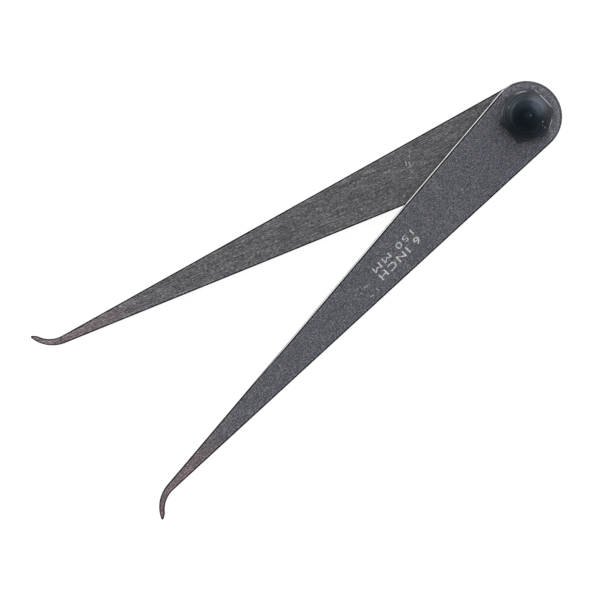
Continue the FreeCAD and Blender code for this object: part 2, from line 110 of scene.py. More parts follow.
class Graph:
    """A node tree being wired, with a short call for each kind of node in use."""

    def __init__(self, tree: bpy.types.NodeTree) -> None:
        """Keeps the tree.

        Args:
            tree: the tree that nodes are added to.
        """
        self.tree = tree

    def feed(self, socket: Socket, value: Wire) -> None:
        """Links a socket to another one, or sets it to a constant.

        Args:
            socket: the input to feed.
            value: an output socket, a number, or the parts of a vector or colour.
        """
        if isinstance(value, Socket):
            self.tree.links.new(value, socket)
        elif socket.type == "RGBA" and len(value) == 3:
            socket.default_value = (*value, 1.0)
        else:
            socket.default_value = value

    def node(
        self,
        kind: str,
        inputs: Mapping[int | str, Wire] | None = None,
        **settings: object,
    ) -> bpy.types.Node:
        """Adds a node.

        Args:
            kind: the node's type name.
            inputs: what feeds its inputs, by name or number.
            **settings: the node's own settings.

        Returns:
            The new node.
        """
        made = self.tree.nodes.new(kind)
        for name, value in settings.items():
            setattr(made, name, value)
        for key, value in (inputs or {}).items():
            self.feed(made.inputs[key], value)
        return made

    def maths(self, operation: str, *values: Wire, clamp: bool = False) -> Socket:
        """Adds a Math node.

        Args:
            operation: the node's operation.
            *values: its inputs, in order.
            clamp: whether the result is held between 0 and 1.

        Returns:
            The result.
        """
        made = self.node("ShaderNodeMath", dict(enumerate(values)), operation=operation)
        made.use_clamp = clamp
        return made.outputs["Value"]

    def vector(self, operation: str, *values: Wire) -> Socket:
        """Adds a Vector Math node.

        Args:
            operation: the node's operation.
            *values: its inputs, in order.

        Returns:
            The result: a number for a dot product, length or distance, else a vector.
        """
        made = self.node("ShaderNodeVectorMath", dict(enumerate(values)), operation=operation)
        number = operation in {"DOT_PRODUCT", "LENGTH", "DISTANCE"}
        return made.outputs["Value" if number else "Vector"]

    def times(self, a: Wire, b: Wire) -> Socket:
        """Multiplies two numbers.

        Args:
            a: the first number.
            b: the second number.

        Returns:
            Their product.
        """
        return self.maths("MULTIPLY", a, b)

    def dot(self, a: Wire, b: Wire) -> Socket:
        """Gives the dot product of two vectors.

        Args:
            a: the first vector.
            b: the second vector.

        Returns:
            The number.
        """
        return self.vector("DOT_PRODUCT", a, b)

    def stretch(self, vector: Wire, scale: Wire) -> Socket:
        """Scales a vector or a colour by a number.

        Args:
            vector: the vector or colour.
            scale: the number.

        Returns:
            The scaled vector or colour.
        """
        made = self.node("ShaderNodeVectorMath", {0: vector, "Scale": scale}, operation="SCALE")
        return made.outputs["Vector"]

    def parts(self, vector: Wire) -> tuple[Socket, ...]:
        """Splits a vector.

        Args:
            vector: the vector.

        Returns:
            Its X, Y and Z.
        """
        made = self.node("ShaderNodeSeparateXYZ", {"Vector": vector})
        return tuple(made.outputs[axis] for axis in "XYZ")

    def joined(self, x: Wire, y: Wire, z: Wire) -> Socket:
        """Makes a vector.

        Args:
            x: its X.
            y: its Y.
            z: its Z.

        Returns:
            The vector.
        """
        return self.node("ShaderNodeCombineXYZ", {"X": x, "Y": y, "Z": z}).outputs["Vector"]

    def mix(self, factor: Wire, a: Wire, b: Wire) -> Socket:
        """Mixes two colours.

        Args:
            factor: the share of the second one.
            a: the first colour.
            b: the second colour.

        Returns:
            The mixed colour.
        """
        made = self.node("ShaderNodeMix", {0: factor, 6: a, 7: b}, data_type="RGBA")
        return made.outputs[2]

    def between(self, factor: Wire, a: Wire, b: Wire) -> Socket:
        """Goes from one number to another.

        Args:
            factor: the share of the second one.
            a: the first number.
            b: the second number.

        Returns:
            The number between them.
        """
        made = self.node("ShaderNodeMix", {0: factor, 2: a, 3: b}, data_type="FLOAT")
        return made.outputs[0]

    def remap(
        self, value: Wire, low: Wire, high: Wire, to_low: Wire = 0.0, to_high: Wire = 1.0
    ) -> Socket:
        """Maps a number smoothly from one range to another.

        Args:
            value: the number.
            low: where the first range starts.
            high: where the first range ends.
            to_low: where the second range starts.
            to_high: where the second range ends.

        Returns:
            The mapped number.
        """
        ranges = dict(enumerate((value, low, high, to_low, to_high)))
        made = self.node("ShaderNodeMapRange", ranges, interpolation_type="SMOOTHSTEP")
        return made.outputs["Result"]

    def noise(
        self, vector: Wire, scale: float = 1.0, detail: float = 2.0, rough: float = 0.5
    ) -> Socket:
        """Adds a noise of three dimensions.

        Args:
            vector: where it is read.
            scale: its number of cells for each unit.
            detail: its octaves.
            rough: how strong each octave is against the one before.

        Returns:
            The noise, about 0.5 on average.
        """
        cells = {"Vector": vector, "Scale": scale, "Detail": detail, "Roughness": rough}
        return self.node("ShaderNodeTexNoise", cells).outputs["Fac"]

    def use(
        self, effect: Group, inputs: Mapping[str, Wire]
    ) -> Outputs:
        """Places a node group.

        Args:
            effect: the group.
            inputs: what feeds its inputs, by name.

        Returns:
            The group's outputs.
        """
        made = self.node("ShaderNodeGroup", node_tree=effect)
        for name, value in inputs.items():
            self.feed(made.inputs[name], value)
        return made.outputs


Wiring = Callable[[Graph, Outputs], Mapping[str, Wire]]


def effect_group(
    name: str, takes: Mapping[str, Port], gives: Mapping[str, Port], wiring: Wiring
) -> Group:
    """Builds a node group that several materials use.

    Args:
        name: the group's name.
        takes: the kind of each input, by name.
        gives: the kind of each output, by name.
        wiring: adds the nodes between them, and returns what feeds each output.

    Returns:
        The group.
    """
    tree = bpy.data.node_groups.new(name, "ShaderNodeTree")
    for label, port in takes.items():
        tree.interface.new_socket(name=label, in_out="INPUT", socket_type=port.value)
    for label, port in gives.items():
        tree.interface.new_socket(name=label, in_out="OUTPUT", socket_type=port.value)
    graph = Graph(tree)
    start = graph.node("NodeGroupInput")
    graph.node("NodeGroupOutput", dict(wiring(graph, start.outputs)))
    return tree


def wire_grain(graph: Graph, given: Outputs) -> Mapping[str, Wire]:
    """Marks of a given length and width, from -1 in their hollows to 1 on their ridges.

    Args:
        graph: the group's tree.
        given: the group's inputs.

    Returns:
        What feeds each output.
    """
    along = graph.maths("DIVIDE", 1.0, given["Length"])
    across = graph.maths("DIVIDE", 1.0, given["Width"])
    place = graph.vector("MULTIPLY", given["Vector"], graph.joined(along, across, across))
    fine = graph.noise(place, detail=2.5, rough=0.62)
    gain = 4.6
    signed = graph.times(graph.maths("SUBTRACT", fine, 0.5), gain)
    held = graph.maths("MAXIMUM", graph.maths("MINIMUM", signed, 1.0), -1.0)
    return {"Value": held}


def wire_turning(graph: Graph, given: Outputs) -> Mapping[str, Wire]:
    """Rings that a lathe tool leaves round the stud's axis, from -1 to 1.

    Args:
        graph: the group's tree.
        given: the group's inputs.

    Returns:
        What feeds each output.
    """
    flat = graph.vector("MULTIPLY", given["Vector"], (1.0, 1.0, 0.0))
    radius = graph.vector("LENGTH", flat)
    drift = graph.maths("SUBTRACT", graph.noise(flat, scale=0.35, detail=1.0), 0.5)
    wandering = graph.maths("MULTIPLY_ADD", drift, given["Wobble"], radius)
    turns = graph.maths("DIVIDE", wandering, given["Pitch"])
    rings = graph.node("ShaderNodeTexNoise", {"W": turns}, noise_dimensions="1D")
    rings.inputs["Scale"].default_value = 1.0
    rings.inputs["Detail"].default_value = 2.0
    rings.inputs["Roughness"].default_value = 0.6
    gain = 4.0
    signed = graph.times(graph.maths("SUBTRACT", rings.outputs["Fac"], 0.5), gain)
    broken = graph.noise(flat, scale=0.9, detail=2.0)
    worn = graph.remap(broken, 0.32, 0.62, 0.35, 1.0)
    return {"Value": graph.times(signed, worn), "Radius": radius}


def wire_scratch(graph: Graph, given: Outputs) -> Mapping[str, Wire]:
    """A short line between two points, seen straight down the stud's axis.

    Args:
        graph: the group's tree.
        given: the group's inputs.

    Returns:
        What feeds each output.
    """
    jitter = graph.node("ShaderNodeTexNoise", {"Vector": given["Vector"], "Scale": 3.0})
    bend = graph.vector("SUBTRACT", jitter.outputs["Color"], (0.5, 0.5, 0.5))
    bent = graph.vector("ADD", given["Vector"], graph.stretch(bend, 0.35))
    flat = graph.vector("MULTIPLY", bent, (1.0, 1.0, 0.0))
    reach = graph.vector("SUBTRACT", flat, given["Start"])
    run = graph.vector("SUBTRACT", given["End"], given["Start"])
    share = graph.maths(
        "DIVIDE",
        graph.dot(reach, run),
        graph.dot(run, run),
        clamp=True,
    )
    away = graph.vector("DISTANCE", reach, graph.stretch(run, share))
    return {"Mask": graph.remap(away, 0.0, given["Width"], 1.0, 0.0)}


def wire_worn_edge(graph: Graph, given: Outputs) -> Mapping[str, Wire]:
    """Where a piece turns a corner, broken up as handling wears it; round a leg's foot the mask gives
    painted shade.

    Args:
        graph: the group's tree.
        given: the group's inputs.

    Returns:
        What feeds each output.
    """
    rounded = graph.node("ShaderNodeBevel", {"Radius": given["Radius"]}, samples=6)
    plain = graph.node("ShaderNodeNewGeometry")
    turn = graph.dot(rounded.outputs["Normal"], plain.outputs["Normal"])
    corner = graph.remap(turn, 0.998, 0.95)
    patches = graph.noise(given["Vector"], scale=0.8, detail=3.0, rough=0.6)
    least = graph.maths("SUBTRACT", 1.0, given["Patchy"])
    broken = graph.remap(patches, 0.35, 0.6, least, 1.0)
    return {"Mask": graph.times(corner, broken)}


def wire_faces(graph: Graph, given: Outputs) -> Mapping[str, Wire]:
    """Tells a leg's flats, broken edges, side walls and polished facet apart by how they lie.

    Args:
        graph: the group's tree.
        given: the group's inputs.

    Returns:
        What feeds each output.
    """
    normal = graph.node("ShaderNodeTexCoord").outputs["Normal"]
    upright = graph.parts(normal)[2]
    height = graph.maths("ABSOLUTE", upright)
    same_way = graph.times(upright, graph.parts(given["Facet"])[2])
    facing = graph.dot(normal, given["Facet"])
    facet = graph.remap(facing, 0.985, 0.995)
    others = graph.maths("SUBTRACT", 1.0, facet)
    flat = graph.remap(height, 0.90, 0.97)
    wall = graph.times(graph.remap(height, 0.45, 0.25), others)
    either = graph.maths("ADD", flat, wall)
    chamfer = graph.maths("SUBTRACT", others, either, clamp=True)
    beside = graph.maths("GREATER_THAN", same_way, 0.0)
    upper = graph.times(flat, graph.maths("GREATER_THAN", upright, 0.0))
    return {
        "Flat": flat,
        "Upper": upper,
        "Chamfer": chamfer,
        "Wall": wall,
        "Facet": facet,
        "Faceted": beside,
    }


def wire_outline(graph: Graph, given: Outputs) -> Mapping[str, Wire]:
    """How far in from a leg's edges a point lies, seen straight down the stud's axis.

    Args:
        graph: the group's tree.
        given: the group's inputs; Side is 1 where the foot turns to +Y, else -1.

    Returns:
        What feeds each output.
    """
    x, y, _ = graph.parts(given["Vector"])
    flat = graph.vector("MULTIPLY", given["Vector"], (1.0, 1.0, 0.0))
    outward = graph.times(y, given["Side"])
    outer_way = graph.joined(*OUTER_EDGE, 0.0)
    inner_way = graph.joined(*INNER_EDGE, 0.0)
    turned = graph.joined(x, outward, 0.0)
    to_outer = graph.dot(turned, outer_way)
    to_inner = graph.dot(turned, inner_way)
    behind = graph.maths("LESS_THAN", x, 0.0)
    round_head = graph.times(graph.vector("LENGTH", flat), behind)
    outer = graph.maths("SUBTRACT", HEAD_RADIUS, graph.maths("MAXIMUM", to_outer, round_head))
    inner = graph.maths("SUBTRACT", HEAD_RADIUS, graph.maths("MAXIMUM", to_inner, round_head))
    return {"Outer": outer, "Inner": inner, "Head": behind}


def wire_temper(graph: Graph, given: Outputs) -> Mapping[str, Wire]:
    """The brown to purple tint that heat leaves near a bent foot, as a gain on the steel's colour.

    Args:
        graph: the group's tree.
        given: the group's inputs.

    Returns:
        What feeds each output.
    """
    along = graph.parts(given["Vector"])[0]
    blotches = graph.noise(given["Vector"], scale=0.42, detail=3.0, rough=0.6)
    ragged = graph.maths("MULTIPLY_ADD", graph.maths("SUBTRACT", blotches, 0.5), 26.0, along)
    share = graph.remap(ragged, given["Start"], given["Full"])
    gain = graph.mix(share, (1.0, 1.0, 1.0), given["Tint"])
    return {"Gain": gain, "Share": share}


@dataclass(frozen=True)
class Effects:
    """The node groups that the finishes share."""

    grain: Group
    turning: Group
    scratch: Group
    worn_edge: Group
    faces: Group
    outline: Group
    temper: Group

    @classmethod
    def build(cls) -> "Effects":
        """Builds each node group once.

        Returns:
            The groups.
        """
        value, vector, colour = Port.VALUE, Port.VECTOR, Port.COLOUR
        return cls(
            grain=effect_group(
                "grain",
                {"Vector": vector, "Length": value, "Width": value},
                {"Value": value},
                wire_grain,
            ),
            turning=effect_group(
                "turning_marks",
                {"Vector": vector, "Pitch": value, "Wobble": value},
                {"Value": value, "Radius": value},
                wire_turning,
            ),
            scratch=effect_group(
                "scratch",
                {"Vector": vector, "Start": vector, "End": vector, "Width": value},
                {"Mask": value},
                wire_scratch,
            ),
            worn_edge=effect_group(
                "worn_edge",
                {"Vector": vector, "Radius": value, "Patchy": value},
                {"Mask": value},
                wire_worn_edge,
            ),
            faces=effect_group(
                "leg_faces",
                {"Facet": vector},
                {
                    "Flat": value,
                    "Upper": value,
                    "Chamfer": value,
                    "Wall": value,
                    "Facet": value,
                    "Faceted": value,
                },
                wire_faces,
            ),
            outline=effect_group(
                "leg_outline",
                {"Vector": vector, "Side": value},
                {"Outer": value, "Inner": value, "Head": value},
                wire_outline,
            ),
            temper=effect_group(
                "temper_tint",
                {"Vector": vector, "Start": value, "Full": value, "Tint": colour},
                {"Gain": colour, "Share": value},
                wire_temper,
            ),
        )

    def marks(self, graph: Graph, place: Wire, grain: Grain) -> Socket:
        """Places the marks of a grain.

        Args:
            graph: the material's tree.
            place: where they are read, in millimetres.
            grain: their length and width.

        Returns:
            How high they stand, from -1 to 1.
        """
        length, width = grain.value
        return graph.use(self.grain, {"Vector": place, "Length": length, "Width": width})["Value"]


def fresh_tree(owner: Union[bpy.types.Material, bpy.types.World]) -> Graph:
    """Empties the tree of a material or a world.

    Args:
        owner: the material or the world.

    Returns:
        Its tree, to wire.
    """
    owner.use_nodes = True
    owner.node_tree.nodes.clear()
    return Graph(owner.node_tree)


def new_material(name: str) -> tuple[bpy.types.Material, Graph, bpy.types.Node]:
    """Starts a material with one Principled shader on its surface.

    Args:
        name: the material's name.

    Returns:
        The material, its tree to wire, and the shader.
    """
    material = bpy.data.materials.new(name)
    graph = fresh_tree(material)
    shader = graph.node("ShaderNodeBsdfPrincipled")
    graph.node("ShaderNodeOutputMaterial", {"Surface": shader.outputs["BSDF"]})
    return material, graph, shader


def in_millimetres(graph: Graph, turned: float = 0.0) -> Socket:
    """Reads the piece's own coordinates.

    Args:
        graph: the material's tree.
        turned: the angle that the piece lies at about the stud, in degrees.

    Returns:
        Coordinates in millimetres, turned back to lie along X.
    """
    place = graph.node("ShaderNodeTexCoord").outputs["Object"]
    made = graph.node(
        "ShaderNodeMapping",
        {
            "Vector": place,
            "Rotation": (0.0, 0.0, math.radians(-turned)),
            "Scale": (PER_MM, PER_MM, PER_MM),
        },
    )
    return made.outputs["Vector"]


def relief(
    graph: Graph, shader: bpy.types.Node, height: Wire, depth: float, strength: float
) -> None:
    """Feeds a shader's normal from a height.

    Args:
        graph: the material's tree.
        shader: the shader.
        height: the height, about -1 to 1.
        depth: what a height of 1 stands for, in millimetres.
        strength: how much of it shows.
    """
    made = graph.node("ShaderNodeBump", {"Height": height})
    made.inputs["Distance"].default_value = depth * MM
    made.inputs["Strength"].default_value = strength
    graph.feed(shader.inputs["Normal"], made.outputs["Normal"])


@dataclass(frozen=True)
class Scratch:
    """A light mark on a leg's upper face, in the leg's own frame, in millimetres."""

    start: tuple[float, float]
    end: tuple[float, float]
    width: float = 0.20
    light: float = 0.8


@dataclass(frozen=True)
class GroundSteel:
    """Dark ground sheet steel, with a polished facet, a foot tinted by heat and painted shade along its
    edges.
    """

    name: str
    turned: float
    grain: Grain
    facet: Point
    cool: Colour
    warm: Colour
    tint: Colour
    scratches: tuple[Scratch, ...] = ()
    side: float = 1.0
    contrast: float = 0.62
    drawn: float = 0.10
    pitting: float = 0.98
    lighter: float = 0.0020
    edge_band: float = 0.48
    foot_band: float = 0.45
    facet_band: float = 0.32
    lighter_band: float = 0.20
    rubbed_head: float = 0.36
    rim: Colour = (0.008, 0.008, 0.010)
    wall: Colour = (0.055, 0.054, 0.056)
    polished: Colour = (0.60, 0.60, 0.61)
    scratched: Colour = (0.70, 0.70, 0.72)
    polished_until: float = 88.0
    polish_fades: float = 22.0
    rubbed_facing: Point = ORIGIN
    tint_start: float = 112.0
    tint_full: float = 146.0

    def material(self, effects: Effects) -> bpy.types.Material:
        """Wires the material.

        Args:
            effects: the shared node groups.

        Returns:
            The material.
        """
        material, graph, shader = new_material(self.name)
        place = in_millimetres(graph, self.turned)
        fine = effects.marks(graph, place, self.grain)
        clouds = effects.marks(graph, place, Grain.STEEL_CLOUDS)
        patches = effects.marks(graph, place, Grain.PATCHES)
        streaks = effects.marks(graph, place, Grain.DRAWN_STREAKS)
        faces = graph.use(effects.faces, {"Facet": self.facet})
        hue = graph.maths("MULTIPLY_ADD", clouds, 0.5, 0.5)
        steel = graph.mix(hue, self.cool, self.warm)
        along = graph.parts(place)[0]
        level = graph.maths("MULTIPLY_ADD", along, self.lighter, 0.0)
        level = graph.maths("MULTIPLY_ADD", fine, self.contrast, level)
        level = graph.maths("MULTIPLY_ADD", streaks, self.drawn, level)
        pits = effects.marks(graph, place, Grain.PITS)
        level = graph.maths("MULTIPLY_ADD", pits, self.pitting, level)
        level = graph.maths("MULTIPLY_ADD", patches, 0.05, level)
        gain = graph.maths("EXPONENT", level)
        steel = graph.stretch(steel, gain)
        temper = graph.use(
            effects.temper,
            {"Vector": place, "Start": self.tint_start, "Full": self.tint_full, "Tint": self.tint},
        )
        steel = graph.vector("MULTIPLY", steel, temper["Gain"])
        steel = self.marked(graph, effects, place, faces["Upper"], steel)
        filed = self.filed(graph, effects, place)
        # The side walls are dark steel, made darker still as painted shade beside the legs' edges.
        wall = graph.stretch(self.wall, graph.maths("EXPONENT", filed))
        steel = graph.mix(faces["Wall"], steel, wall)
        edges = graph.use(effects.outline, {"Vector": place, "Side": self.side})
        steel = self.edged(graph, effects, place, faces, edges, steel, gain)
        bright = self.bright_facet(graph, place, faces, edges["Inner"])
        steel = graph.mix(bright, steel, self.polished)
        graph.feed(shader.inputs["Base Color"], steel)
        dull = graph.maths("MULTIPLY_ADD", fine, 0.07, 0.43)
        graph.feed(shader.inputs["Roughness"], graph.between(bright, dull, 0.16))
        shader.inputs["Metallic"].default_value = 0.95
        plain = graph.maths("SUBTRACT", 1.0, bright)
        height = graph.between(faces["Wall"], fine, filed)
        relief(graph, shader, graph.times(height, plain), 0.012, 0.5)
        return material

    def filed(self, graph: Graph, effects: Effects, place: Wire) -> Socket:
        """Draws the file's long marks round the side walls, with a few deeper pits.

        Args:
            graph: the material's tree.
            effects: the shared node groups.
            place: the leg's own coordinates.

        Returns:
            How light the wall is, about -1 to 1.
        """
        x, y, z = graph.parts(place)
        across = graph.joined(z, x, y)
        long = effects.marks(graph, across, Grain.FILE_LONG)
        short = effects.marks(graph, across, Grain.FILE_SHORT)
        pits = effects.marks(graph, place, Grain.WALL_PITS)
        level = graph.times(long, 0.60)
        level = graph.maths("MULTIPLY_ADD", short, 0.42, level)
        return graph.maths("MULTIPLY_ADD", pits, 0.16, level)

    def edged(
        self,
        graph: Graph,
        effects: Effects,
        place: Wire,
        faces: Outputs,
        edges: Outputs,
        steel: Wire,
        gain: Wire,
    ) -> Socket:
        """Paints shade on the broken edges and a narrow band beside them, and lightens the face next to
        that band.

        Args:
            graph: the material's tree.
            effects: the shared node groups.
            place: the leg's own coordinates.
            faces: where the leg's kinds of face are.
            edges: how far in from the leg's edges a point lies.
            steel: the colour so far.
            gain: how light the grain is.

        Returns:
            The colour with its edges.
        """
        along = graph.parts(place)[0]
        polished = graph.remap(
            along, self.polished_until, self.polished_until + self.polish_fades, self.facet_band, 0.0
        )
        facet = graph.times(faces["Faceted"], polished)
        inner = graph.maths("SUBTRACT", edges["Inner"], facet)
        nearest = graph.maths("MINIMUM", edges["Outer"], inner)
        wavy = graph.maths("SUBTRACT", graph.noise(place, scale=0.9, detail=3.0, rough=0.7), 0.5)
        nearest = graph.maths("MULTIPLY_ADD", wavy, 0.22, nearest)
        blade = graph.remap(along, FOOT_START, FOOT_START + 3.0, 1.0, 0.0)
        faint = graph.maths("MULTIPLY_ADD", edges["Head"], -0.55, 1.0)
        # A lighter band on the face just within the dark edge band.
        worn = graph.remap(nearest, 1.0, 0.5, 0.0, self.lighter_band)
        worn = graph.maths("MULTIPLY_ADD", worn, blade, 1.0)
        handled = graph.remap(nearest, 2.3, 0.9, 0.0, self.rubbed_head)
        worn = graph.maths("MULTIPLY_ADD", handled, edges["Head"], worn)
        steel = graph.stretch(steel, worn)
        # Painted shade: a dark band along the legs' edges, fainter on the head.
        band = graph.remap(nearest, self.edge_band, self.edge_band - 0.15, 0.0, 1.0)
        band = graph.times(graph.times(band, blade), faint)
        # Painted shade: the foot's rounded edges are darkened as well.
        turned = graph.use(
            effects.worn_edge, {"Vector": place, "Radius": self.foot_band * MM, "Patchy": 0.15}
        )
        foot = graph.times(turned["Mask"], graph.maths("SUBTRACT", 1.0, blade))
        rim = graph.times(graph.maths("MAXIMUM", band, foot), faces["Flat"])
        # Painted shade: the broken edges are coloured dark, and the facet too wherever it is not
        # polished.
        broken = graph.times(faces["Chamfer"], graph.maths("ADD", faint, 0.3, clamp=True))
        broken = graph.maths("ADD", broken, faces["Facet"])
        rim = graph.maths("MULTIPLY_ADD", rim, 0.95, broken, clamp=True)
        return graph.mix(rim, steel, graph.stretch(self.rim, gain))

    def marked(
        self, graph: Graph, effects: Effects, place: Wire, upper: Wire, steel: Wire
    ) -> Socket:
        """Lays the scratches over the steel's colour.

        Args:
            graph: the material's tree.
            effects: the shared node groups.
            place: the leg's own coordinates.
            upper: where its upper face is.
            steel: the colour so far.

        Returns:
            The colour with its scratches.
        """
        for mark in self.scratches:
            line = graph.use(
                effects.scratch,
                {
                    "Vector": place,
                    "Start": (*mark.start, 0.0),
                    "End": (*mark.end, 0.0),
                    "Width": mark.width,
                },
            )
            shown = graph.times(graph.times(line["Mask"], upper), mark.light)
            steel = graph.mix(shown, steel, self.scratched)
        return steel

    def bright_facet(
        self, graph: Graph, place: Wire, faces: Outputs, inner: Wire
    ) -> Socket:
        """Keeps the facet and the broken edge next to it bright, and the far end dull.

        Args:
            graph: the material's tree.
            place: the leg's own coordinates.
            faces: where the leg's kinds of face are.
            inner: how far in from the inner edge a point lies.

        Returns:
            The share of polished steel.
        """
        along = graph.parts(place)[0]
        near = graph.remap(
            along, self.polished_until, self.polished_until + self.polish_fades, 1.0, 0.02
        )
        rubbed = graph.noise(graph.vector("MULTIPLY", place, (0.25, 1.0, 1.0)), scale=1.2)
        patchy = graph.remap(rubbed, 0.25, 0.5, 0.72, 1.0)
        normal = graph.node("ShaderNodeTexCoord").outputs["Normal"]
        facing = graph.dot(normal, self.rubbed_facing)
        beside = graph.times(graph.remap(facing, 0.975, 0.99), faces["Chamfer"])
        facet = graph.maths("MAXIMUM", faces["Facet"], beside)
        core = graph.times(graph.remap(inner, 0.05, 0.12), graph.remap(inner, 0.35, 0.26))
        facet = graph.times(facet, core)
        return graph.times(graph.times(facet, near), patchy)


@dataclass(frozen=True)
class BluedSteel:
    """Turned steel blued almost black, with lathe rings, specks and rubbed corners, and painted light and
    shade: a dark disc of painted reflection on top, highlights towards the key lamp and a darker side.
    """

    name: str
    base: Colour
    crown_shade: Colour
    shade_disc_radius: float
    shade_disc_middle: Point
    pitch: float
    lit_shoulder: Colour
    film: float = 0.20
    crown_film: float = 0.05
    rubbed: Colour = (0.16, 0.165, 0.18)
    highlight_way: Point = ORIGIN
    painted_highlight: Colour = (0.055, 0.070, 0.091)
    painted_light: Colour = (0.047, 0.056, 0.070)
    painted_light_way: Point = ORIGIN
    painted_shade_way: Point = ORIGIN
    glint_edge: Point = ORIGIN
    slides: bool = False
    painted_glint: Colour = (0.25, 0.25, 0.26)
    dented: Colour = (0.5, 0.52, 0.5)
    slid: Colour = (0.34, 0.33, 0.33)
    specks: tuple[tuple[float, float, float], ...] = ()

    def material(self, effects: Effects) -> bpy.types.Material:
        """Wires the material.

        Args:
            effects: the shared node groups.

        Returns:
            The material.
        """
        material, graph, shader = new_material(self.name)
        place = in_millimetres(graph)
        rings = graph.use(
            effects.turning, {"Vector": place, "Pitch": self.pitch, "Wobble": 0.25}
        )
        clouds = effects.marks(graph, place, Grain.BLUING_CLOUDS)
        fine = effects.marks(graph, place, Grain.BLUING_FINE)
        # Painted reflection: a dark disc, set off the middle of the dome, stands in for the dark sky that
        # the dome's top reflects.
        soft = 1.6
        flat = graph.vector("MULTIPLY", place, (1.0, 1.0, 0.0))
        away = graph.vector("DISTANCE", flat, self.shade_disc_middle)
        in_shade_disc = graph.remap(away, self.shade_disc_radius - soft, self.shade_disc_radius + soft, 1.0, 0.0)
        steel = graph.mix(in_shade_disc, self.base, self.crown_shade)
        outward = graph.vector("NORMALIZE", flat)
        toward = graph.dot(outward, self.highlight_way)
        # Painted highlight: on the side towards the key lamp the outer dome takes a less blue colour,
        # like its highlight.
        lit_shoulder_share = graph.maths(
            "MULTIPLY", graph.remap(rings["Radius"], 4.1, 4.6), graph.remap(toward, 0.0, 0.8)
        )
        steel = graph.mix(lit_shoulder_share, steel, self.lit_shoulder)
        # Painted light: the outer dome is lighter on one side.
        painted_light = graph.maths(
            "MULTIPLY",
            graph.remap(graph.dot(outward, self.painted_light_way), 0.45, 0.85),
            graph.remap(rings["Radius"], 4.0, 5.0),
        )
        steel = graph.mix(painted_light, steel, self.painted_light)
        gain = graph.maths("MULTIPLY_ADD", rings["Value"], 0.40, 1.0)
        gain = graph.maths("MULTIPLY_ADD", clouds, 0.14, gain)
        gain = graph.maths("MULTIPLY_ADD", fine, 0.10, gain)
        gain = graph.maths("ADD", gain, graph.remap(rings["Radius"], 1.5, 0.4, 0.0, 1.0))
        # Painted highlight: a lighter ring 4.8 mm from the axis, on the side away from the key lamp.
        crease_highlight = graph.maths("ABSOLUTE", graph.maths("SUBTRACT", rings["Radius"], 4.80))
        crease_highlight = graph.maths(
            "MULTIPLY", graph.remap(crease_highlight, 0.35, 0.05, 0.0, 0.70), graph.remap(toward, 0.3, -0.3)
        )
        gain = graph.maths("ADD", gain, crease_highlight)
        # Painted shade: one side of the dome is darker, from 2.2 mm outwards.
        painted_shade = graph.maths(
            "MULTIPLY",
            graph.remap(graph.dot(outward, self.painted_shade_way), 0.55, 0.9, 0.0, -0.42),
            graph.maths(
                "MULTIPLY",
                graph.remap(rings["Radius"], 2.2, 3.2),
                graph.remap(rings["Radius"], 5.9, 5.1, 0.3, 1.0),
            ),
        )
        gain = graph.maths("ADD", gain, painted_shade)
        # Painted highlight: a lighter blue band from 1.7 to 4.4 mm off the axis, towards the key lamp.
        painted_highlight = graph.maths(
            "MULTIPLY", graph.remap(rings["Radius"], 1.7, 3.5), graph.remap(rings["Radius"], 4.4, 4.0)
        )
        painted_highlight = graph.times(painted_highlight, graph.remap(toward, 0.68, 1.0))
        steel = graph.mix(painted_highlight, steel, self.painted_highlight)
        steel = graph.stretch(steel, gain)
        edge = graph.use(effects.worn_edge, {"Vector": place, "Radius": 0.16 * MM, "Patchy": 0.75})
        steel = graph.mix(graph.times(edge["Mask"], 0.35), steel, self.rubbed)
        # Painted glint: a bright band along the top edge of the flat that faces the key lamp.
        upright = graph.parts(graph.node("ShaderNodeTexCoord").outputs["Normal"])[2]
        reach = graph.dot(place, self.glint_edge)
        bare = graph.times(graph.remap(reach, 6.25, 6.50), graph.remap(upright, 0.2, 0.4))
        bare = graph.times(bare, graph.remap(clouds, -0.4, 0.4, 0.2, 1.0))
        steel = graph.mix(bare, steel, self.painted_glint)
        steel = self.speckled(graph, effects, place, steel)
        if self.slides:
            steel = graph.mix(self.scuffed(graph, effects, place), steel, self.slid)
        graph.feed(shader.inputs["Base Color"], steel)
        rough = graph.maths("MULTIPLY_ADD", rings["Value"], 0.06, 0.42)
        rough = graph.maths("MULTIPLY_ADD", clouds, 0.04, rough)
        graph.feed(shader.inputs["Roughness"], rough)
        shader.inputs["Metallic"].default_value = 0.9
        film = graph.between(in_shade_disc, self.film, self.crown_film)
        graph.feed(shader.inputs["Coat Weight"], film)
        shader.inputs["Coat Roughness"].default_value = 0.38
        height = graph.maths("MULTIPLY_ADD", fine, 0.25, rings["Value"])
        relief(graph, shader, height, 0.010, 0.45)
        return material

    def speckled(
        self, graph: Graph, effects: Effects, place: Wire, steel: Wire
    ) -> Socket:
        """Lays small bright dents over the colour.

        Args:
            graph: the material's tree.
            effects: the shared node groups.
            place: the piece's own coordinates.
            steel: the colour so far.

        Returns:
            The colour with its dents.
        """
        for x, y, size in self.specks:
            dent = graph.use(
                effects.scratch,
                {
                    "Vector": place,
                    "Start": (x, y, 0.0),
                    "End": (x + 0.3 * size, y + 0.3 * size, 0.0),
                    "Width": size,
                },
            )
            steel = graph.mix(graph.times(dent["Mask"], 0.5), steel, self.dented)
        return steel

    def scuffed(self, graph: Graph, effects: Effects, place: Wire) -> Socket:
        """Finds the land that the caliper slides on, rubbed bright in streaks.

        Args:
            graph: the material's tree.
            effects: the shared node groups.
            place: the piece's own coordinates.

        Returns:
            The share of bare steel.
        """
        streaks = effects.marks(graph, place, Grain.LAND_STREAKS)
        bare = graph.remap(streaks, -0.5, 0.6, 0.15, 0.9)
        low = graph.remap(graph.parts(place)[2], 0.02, 0.12, 1.0, 0.0)
        return graph.times(bare, low)


